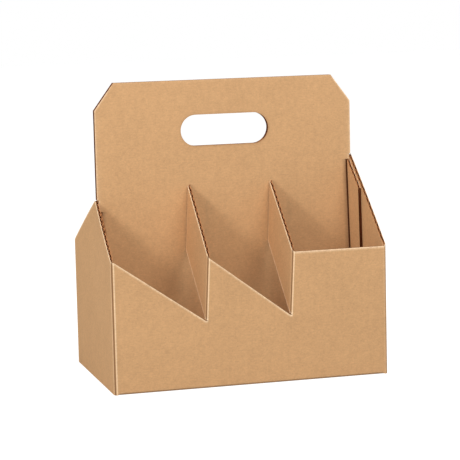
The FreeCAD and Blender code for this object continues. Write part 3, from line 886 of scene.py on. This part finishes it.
def board_piece(name, surfaces, node):
    """Puts the papers of several boards into one mesh, with its finish and its frame node.

    The flat coordinates go into the mesh's UV map in metres, and the crease
    and rim marks into attributes of the same names.
    """
    board, step, sharp = bpy.context.scene.carrier_board, 6 * MM, math.radians(42)
    layers = []
    for surface, breaks, folds in surfaces:
        layers += corrugated(surface, ruled(breaks, step, folds),
                             ruled(breaks, board.pitch / 10), board)
    counts = np.cumsum([0] + [len(points) for points, *_ in layers])
    points = np.concatenate([layer[0] for layer in layers])
    faces = np.concatenate([layer[1] + count for layer, count in zip(layers, counts)])
    kinds = np.concatenate([layer[2] for layer in layers])
    marks = np.concatenate([layer[3] for layer in layers])

    mesh = bpy.data.meshes.new(name)
    mesh.vertices.add(len(points))
    mesh.vertices.foreach_set("co", points.ravel())
    mesh.loops.add(faces.size)
    mesh.loops.foreach_set("vertex_index", faces.ravel())
    mesh.polygons.add(len(faces))
    mesh.polygons.foreach_set("loop_start", np.arange(0, faces.size, 4))
    mesh.polygons.foreach_set("material_index", kinds)
    mesh.polygons.foreach_set("use_smooth", np.ones(len(faces), bool))
    mesh.update(calc_edges=True)
    if mesh.validate():
        raise RuntimeError(f"{name} has faces that had to be mended")
    mesh.uv_layers.new(name="flat").uv.foreach_set("vector", marks[faces.ravel(), :2].ravel())
    for label, column in (("crease", 2), ("rim", 3)):
        values = mesh.attributes.new(label, "FLOAT", "POINT")
        values.data.foreach_set("value", marks[:, column])
    mesh.set_sharp_from_angle(angle=sharp)
    for material in kraft_materials():
        mesh.materials.append(material)
    piece = bpy.data.objects.new(name, mesh)
    bpy.context.scene.collection.objects.link(piece)
    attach(piece, "root")
    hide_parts(node)
    return piece


# -------------------------------------------------------------- materials


def new_node(tree, kind, label=None, inputs=(), **options):
    """Adds a node with its settings, and sets or links its inputs by name or number."""
    node = tree.nodes.new(kind)
    node.label = label or ""
    for key, value in options.items():
        setattr(node, key, value)
    for key, value in dict(inputs).items():
        socket = node.inputs[key]
        if isinstance(value, bpy.types.NodeSocket):
            tree.links.new(value, socket)
        else:
            socket.default_value = value
    return node


def math_node(tree, operation, *values, label=None):
    """One step of arithmetic on values or sockets; returns its result."""
    return new_node(tree, "ShaderNodeMath", label, dict(enumerate(values)),
                    operation=operation).outputs[0]


def add_socket(group, name, way, kind, default=None):
    """Adds a named socket to a node group, with its default where it has one."""
    socket = group.interface.new_socket(name=name, in_out=way, socket_type=kind)
    if default is not None:
        socket.default_value = default


def kraft_group():
    """The look of kraft paper as a shared group.

    Brightness is one plus small shares of its patterns: fibres drawn out
    across the flutes, fine grain, mottling, broad clouds, and the faint line
    over each flute, a sine of the distance across them. The colour turns to
    the pale one at a cut edge and on a fold's ridge, partly wear and partly
    painted highlight, and to the dark one in a fold's groove, as painted
    shade, and where a fine noise passes a threshold, as dark flecks. Height
    is the sum of the flute line, the grain and the fibres, in metres.
    """
    name = "kraft_fibre"
    if name in bpy.data.node_groups:
        return bpy.data.node_groups[name]
    tree = bpy.data.node_groups.new(name, "ShaderNodeTree")
    colours = {"Paper": (0.6, 0.36, 0.18, 1), "Dark And Shade": (0.3, 0.15, 0.06, 1),
               "Worn And Highlight": (0.9, 0.6, 0.3, 1)}
    amounts = {"Fibre": 0.06, "Cloud": 0.05, "Flute Line": 0.02, "Pitch": 0.0064,
               "Edge Wear And Highlight": 0.8, "Ridge Wear And Highlight": 0.6, "Groove Shade": 0.8, "Roughness": 0.86}
    for key, value in colours.items():
        add_socket(tree, key, "INPUT", "NodeSocketColor", value)
    for key, value in amounts.items():
        add_socket(tree, key, "INPUT", "NodeSocketFloat", value)
    add_socket(tree, "Color", "OUTPUT", "NodeSocketColor")
    add_socket(tree, "Roughness", "OUTPUT", "NodeSocketFloat")
    add_socket(tree, "Height", "OUTPUT", "NodeSocketFloat")
    given = new_node(tree, "NodeGroupInput").outputs
    place = new_node(tree, "ShaderNodeTexCoord").outputs

    def noise(label, vector, scale, detail, **more):
        """One noise pattern."""
        values = {"Vector": vector, "Scale": scale, "Detail": detail, **more}
        return new_node(tree, "ShaderNodeTexNoise", label, values).outputs[0]

    def mark(label, name):
        """A mark that the mesh carries."""
        return new_node(tree, "ShaderNodeAttribute", label, attribute_name=name).outputs["Fac"]

    def mixed(label, share, first, second):
        """One colour turned to another by a share."""
        return new_node(tree, "ShaderNodeMix", label, {0: share, 6: first, 7: second},
                        data_type="RGBA").outputs[2]

    def times(first, second, label=None):
        """The product of two values."""
        return math_node(tree, "MULTIPLY", first, second, label=label)

    def total(first, *others):
        """The sum of values, added in turn."""
        for other in others:
            first = math_node(tree, "ADD", first, other)
        return first

    def centred(value, amount):
        """A pattern about zero, times its amount."""
        return times(math_node(tree, "SUBTRACT", value, 0.5), amount)

    def positive(value):
        """A value, or zero where it is below zero."""
        return math_node(tree, "MAXIMUM", value, 0.0)

    flat = new_node(tree, "ShaderNodeMapping", "fibre direction",
                    {0: place["UV"], "Scale": (0.35, 1.0, 1.0)}).outputs[0]
    fibre = noise("fibres", flat, 750.0, 3.0, Roughness=0.6)
    grain = noise("grain", place["Object"], 640.0, 3.0)
    mottle = noise("mottling", place["Object"], 210.0, 3.0)
    cloud = noise("clouds", place["Object"], 26.0, 4.0, Roughness=0.55)
    spots = noise("flecks", place["Object"], 620.0, 2.0)
    across = new_node(tree, "ShaderNodeSeparateXYZ", inputs={0: place["UV"]}).outputs[0]
    turns = math_node(tree, "DIVIDE", across, given["Pitch"])
    wave = math_node(tree, "SINE", times(turns, 2 * math.pi))
    line = times(wave, given["Flute Line"], label="flute line")

    # rims and fold ridges pale the paper: partly wear and partly painted highlight
    crease, rim = mark("folds", "crease"), mark("cut edges", "rim")
    ridge = times(positive(crease), given["Ridge Wear And Highlight"])
    groove = times(positive(times(crease, -1.0)), given["Groove Shade"])
    edge = times(times(rim, total(mottle, grain)), given["Edge Wear And Highlight"])
    pale = math_node(tree, "ADD", ridge, edge, label="rubbed pale, with painted highlight")
    pattern = total(centred(fibre, given["Fibre"]), centred(cloud, given["Cloud"]),
                    centred(grain, given["Fibre"]), centred(mottle, given["Cloud"]), line)
    bright = math_node(tree, "ADD", pattern, 1.0, label="brightness")
    worn_and_highlight = mixed("worn paper", pale, given["Paper"], given["Worn And Highlight"])
    toned = new_node(tree, "ShaderNodeHueSaturation", "paper tone",
                     {"Value": bright, "Color": worn_and_highlight}).outputs[0]
    spots = new_node(tree, "ShaderNodeMapRange", "fleck mask",
                     {0: spots, 1: 0.68, 2: 0.76, 3: 0.0, 4: 0.165}).outputs[0]
    # grooves and shade marks darken the paper as painted shade; flecks are the paper's own
    dark = math_node(tree, "MAXIMUM", spots, groove)
    colour = mixed("flecks and painted groove shade", dark, toned, given["Dark And Shade"])
    rough = total(given["Roughness"], centred(grain, 0.12))
    line_height, paper_height = 0.0012, 0.00003
    height = total(times(line, line_height), times(grain, paper_height),
                   times(fibre, paper_height))
    new_node(tree, "NodeGroupOutput",
             inputs={"Color": colour, "Roughness": rough, "Height": height})
    return tree


def kraft_material(name, paper, fibre, cloud, line, rub_and_light, rough):
    """A kraft paper material: the shared look with its own colour and strengths."""
    if name in bpy.data.materials:
        return bpy.data.materials[name]
    finish, board = bpy.context.scene.carrier_finish, bpy.context.scene.carrier_board
    material = bpy.data.materials.new(name)
    material.use_nodes = True
    tree = material.node_tree
    tree.nodes.clear()
    look = new_node(tree, "ShaderNodeGroup", "kraft paper", node_tree=kraft_group())
    values = {"Paper": (*paper, 1), "Dark And Shade": (*finish.dark, 1), "Worn And Highlight": (*finish.worn_and_highlight, 1),
              "Fibre": fibre, "Cloud": cloud, "Flute Line": line, "Pitch": board.pitch,
              "Edge Wear And Highlight": rub_and_light[0], "Ridge Wear And Highlight": rub_and_light[1], "Groove Shade": rub_and_light[2],
              "Roughness": rough}
    for key, value in values.items():
        look.inputs[key].default_value = value
    bump = new_node(tree, "ShaderNodeBump", "paper relief",
                    {"Height": look.outputs["Height"], "Distance": 1.0, "Strength": 1.0})
    shader = new_node(tree, "ShaderNodeBsdfPrincipled", inputs={
        "Base Color": look.outputs["Color"], "Roughness": look.outputs["Roughness"],
        "Normal": bump.outputs[0], "Specular IOR Level": 0.12})
    new_node(tree, "ShaderNodeOutputMaterial", inputs={0: shader.outputs[0]})
    material.diffuse_color = (*paper, 1)
    return material


def kraft_materials():
    """The materials of a board's face, flutes, cut edges and ragged edges along
    the flutes, in slot order; the flute and ragged-edge colours carry painted shade.

    Each has its colour, the strengths of its fibres, clouds and flute line,
    those of its pale rims, partly wear and partly painted highlight, of its
    ridges' painted highlight and of its grooves' painted shade, and its
    roughness.
    """
    finish = bpy.context.scene.carrier_finish
    plain = (0.0, 0.0, 0.0)
    return [kraft_material(*look) for look in (
        ("kraft_face", finish.face, 0.30, 0.17, 0.005, (1.10, 0.85, 0.66), finish.roughness),
        ("kraft_flute_shaded", finish.flute, 0.16, 0.10, 0.0, plain, 0.92),
        ("kraft_cut", finish.cut, 0.50, 0.20, 0.0, plain, 0.95),
        ("kraft_torn_shaded", finish.torn_and_shade, 0.50, 0.20, 0.0, plain, 0.95),
    )]


def floor_material():
    """A plain pale floor, shown to the camera with most of its light its own."""
    material = bpy.data.materials.new("studio_floor")
    material.use_nodes = True
    tree = material.node_tree
    tree.nodes.clear()
    rays = new_node(tree, "ShaderNodeLightPath").outputs
    own_light = 0.78
    seen = math_node(tree, "MAXIMUM", rays["Is Camera Ray"], rays["Is Glossy Ray"])
    glow = math_node(tree, "MULTIPLY", seen, own_light)
    shader = new_node(tree, "ShaderNodeBsdfPrincipled", inputs={
        "Base Color": (0.50, 0.495, 0.49, 1), "Roughness": 0.95, "Specular IOR Level": 0.1,
        "Emission Color": (1, 1, 1, 1), "Emission Strength": glow})
    new_node(tree, "ShaderNodeOutputMaterial", inputs={0: shader.outputs[0]})
    return material


# -------------------------------------------------------------- operators


class CARRIER_OT_stage(bpy.types.Operator):
    """Lay the floor and set the lamps, the surround and the camera."""

    bl_idname = "carrier.stage"
    bl_label = "Set the Stage"
    bl_options = {"REGISTER", "UNDO"}

    def execute(self, context):
        scene = context.scene
        studio = scene.carrier_studio
        self.floor(scene)
        self.surround(scene, studio.surround)
        middle = Vector((0, 0, 0.12))
        self.lamp(scene, "side_lamp", middle, studio.side,
                  turn=-62, rise=27, distance=2.0, size=0.45)
        self.lamp(scene, "front_lamp", middle, studio.front,
                  turn=12, rise=50, distance=1.6, size=1.2)
        self.camera(scene, studio)
        scene.view_settings.view_transform = "Standard"
        return {"FINISHED"}

    def floor(self, scene):
        """A flat square far wider than the view, a hair below the carrier."""
        reach, drop, count = 6.0, 0.2 * MM, 9
        side = np.linspace(-reach, reach, count)
        x, y = np.meshgrid(side, side)
        points = stack3(x, y, 0 * x - drop).reshape(-1, 3)
        index = np.arange(count ** 2).reshape(count, count)
        faces = np.stack([index[:-1, :-1], index[:-1, 1:], index[1:, 1:], index[1:, :-1]], -1)
        mesh = bpy.data.meshes.new("studio_floor")
        mesh.from_pydata(points.tolist(), [], faces.reshape(-1, 4).tolist())
        mesh.materials.append(floor_material())
        floor = bpy.data.objects.new("studio_floor", mesh)
        scene.collection.objects.link(floor)

    def surround(self, scene, level):
        """White to the camera and in reflections, and an even soft light to everything else."""
        world = bpy.data.worlds.new("studio_surround")
        world.use_nodes = True
        tree = world.node_tree
        tree.nodes.clear()
        rays = new_node(tree, "ShaderNodeLightPath").outputs
        seen = math_node(tree, "MAXIMUM", rays["Is Camera Ray"], rays["Is Glossy Ray"])
        seen = math_node(tree, "MAXIMUM", seen, rays["Is Transmission Ray"])
        strength = new_node(tree, "ShaderNodeMapRange", "seen or lighting",
                            {0: seen, 3: level, 4: 1.0}).outputs[0]
        shade = new_node(tree, "ShaderNodeBackground",
                         inputs={0: (1, 1, 1, 1), 1: strength})
        new_node(tree, "ShaderNodeOutputWorld", inputs={0: shade.outputs[0]})
        scene.world = world

    def lamp(self, scene, name, aim, power, turn, rise, distance, size):
        """A square lamp facing the aim, turned and raised in degrees from the front."""
        turn, rise = math.radians(turn), math.radians(rise)
        away = Vector((math.sin(turn) * math.cos(rise), -math.cos(turn) * math.cos(rise),
                       math.sin(rise)))
        data = bpy.data.lights.new(name, "AREA")
        data.size, data.energy = size, power
        lamp = bpy.data.objects.new(name, data)
        lamp.location = aim + away * distance
        lamp.rotation_euler = away.to_track_quat("Z", "Y").to_euler()
        scene.collection.objects.link(lamp)

    def camera(self, scene, studio):
        """The camera looks at the aim point from its distance, turned, raised and rolled."""
        turn, rise, roll = studio.turn, studio.rise, studio.roll
        forward = Vector((math.sin(turn) * math.cos(rise), math.cos(turn) * math.cos(rise),
                          -math.sin(rise)))
        right = Vector((math.cos(turn), -math.sin(turn), 0))
        up = right.cross(forward)
        tilted_right = right * math.cos(roll) + up * math.sin(roll)
        tilted_up = up * math.cos(roll) - right * math.sin(roll)
        data = bpy.data.cameras.new("camera")
        data.sensor_width = 36
        data.lens = studio.lens
        data.clip_start, data.clip_end = 0.05, 50
        camera = bpy.data.objects.new("camera", data)
        turned = Matrix((tilted_right, tilted_up, -forward)).transposed().to_4x4()
        camera.matrix_world = Matrix.Translation(
            Vector(studio.aim) - forward * studio.distance) @ turned
        scene.collection.objects.link(camera)
        scene.camera = camera


class CARRIER_OT_walls(bpy.types.Operator):
    """Fold the four walls from one strip of board, closed by its glue tab."""

    bl_idname = "carrier.walls"
    bl_label = "Fold the Walls"
    bl_options = {"REGISTER", "UNDO"}

    def execute(self, context):
        board_piece("wrap_walls", [wall_surface()], "outer_wrap")
        return {"FINISHED"}


class CARRIER_OT_dividers(bpy.types.Operator):
    """Fold the four dividers in from the long panels."""

    bl_idname = "carrier.dividers"
    bl_label = "Fold the Dividers"
    bl_options = {"REGISTER", "UNDO"}

    def execute(self, context):
        surfaces = [divider_surface(which, side) for which in (0, 1) for side in (-1, 1)]
        board_piece("wrap_dividers", surfaces, "outer_wrap")
        return {"FINISHED"}


class CARRIER_OT_base(bpy.types.Operator):
    """Fold the bottom panel and its upturned tabs."""

    bl_idname = "carrier.base"
    bl_label = "Fold the Base"
    bl_options = {"REGISTER", "UNDO"}

    def execute(self, context):
        tabs = [side_tab_surface(end, side) for end in (-1, 1) for side in (-1, 1)]
        board_piece("wrap_base", [base_surface(), *tabs], "outer_wrap")
        return {"FINISHED"}


class CARRIER_OT_handle(bpy.types.Operator):
    """Fold the two plies of the handle and cut the hand hole."""

    bl_idname = "carrier.handle"
    bl_label = "Fold the Handle"
    bl_options = {"REGISTER", "UNDO"}

    def execute(self, context):
        board_piece("handle_plies", [handle_surface()], "handle_insert")
        return {"FINISHED"}


class CARRIER_OT_flaps(bpy.types.Operator):
    """Turn the handle's four flaps along the insides of the gables."""

    bl_idname = "carrier.flaps"
    bl_label = "Turn the Flaps"
    bl_options = {"REGISTER", "UNDO"}

    def execute(self, context):
        surfaces = [flap_surface(end, side) for end in (-1, 1) for side in (-1, 1)]
        board_piece("handle_flaps", surfaces, "handle_insert")
        return {"FINISHED"}


OPERATORS = (CARRIER_OT_stage, CARRIER_OT_walls, CARRIER_OT_dividers, CARRIER_OT_base,
             CARRIER_OT_handle, CARRIER_OT_flaps)


class CARRIER_PT_panel(bpy.types.Panel):
    """The carrier's steps and settings."""

    bl_idname = "CARRIER_PT_panel"
    bl_label = "Bottle Carrier"
    bl_space_type = "VIEW_3D"
    bl_region_type = "UI"
    bl_category = "Carrier"

    def draw(self, context):
        for operator in OPERATORS:
            self.layout.operator(operator.bl_idname)
        for name, group in GROUPS:
            box = self.layout.box()
            for prop in group.__annotations__:
                box.prop(getattr(context.scene, name), prop)


CLASSES = (*(group for _, group in GROUPS), *OPERATORS, CARRIER_PT_panel)


def register():
    for cls in CLASSES:
        bpy.utils.register_class(cls)
    for name, group in GROUPS:
        setattr(bpy.types.Scene, name, PointerProperty(type=group))


def unregister():
    for name, _ in GROUPS:
        delattr(bpy.types.Scene, name)
    for cls in reversed(CLASSES):
        bpy.utils.unregister_class(cls)


def main():
    """Registers the add-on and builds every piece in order."""
    register()
    bpy.ops.carrier.stage()
    bpy.ops.carrier.walls()
    bpy.ops.carrier.dividers()
    bpy.ops.carrier.base()
    bpy.ops.carrier.handle()
    bpy.ops.carrier.flaps()


if __name__ == "__main__":
    main()
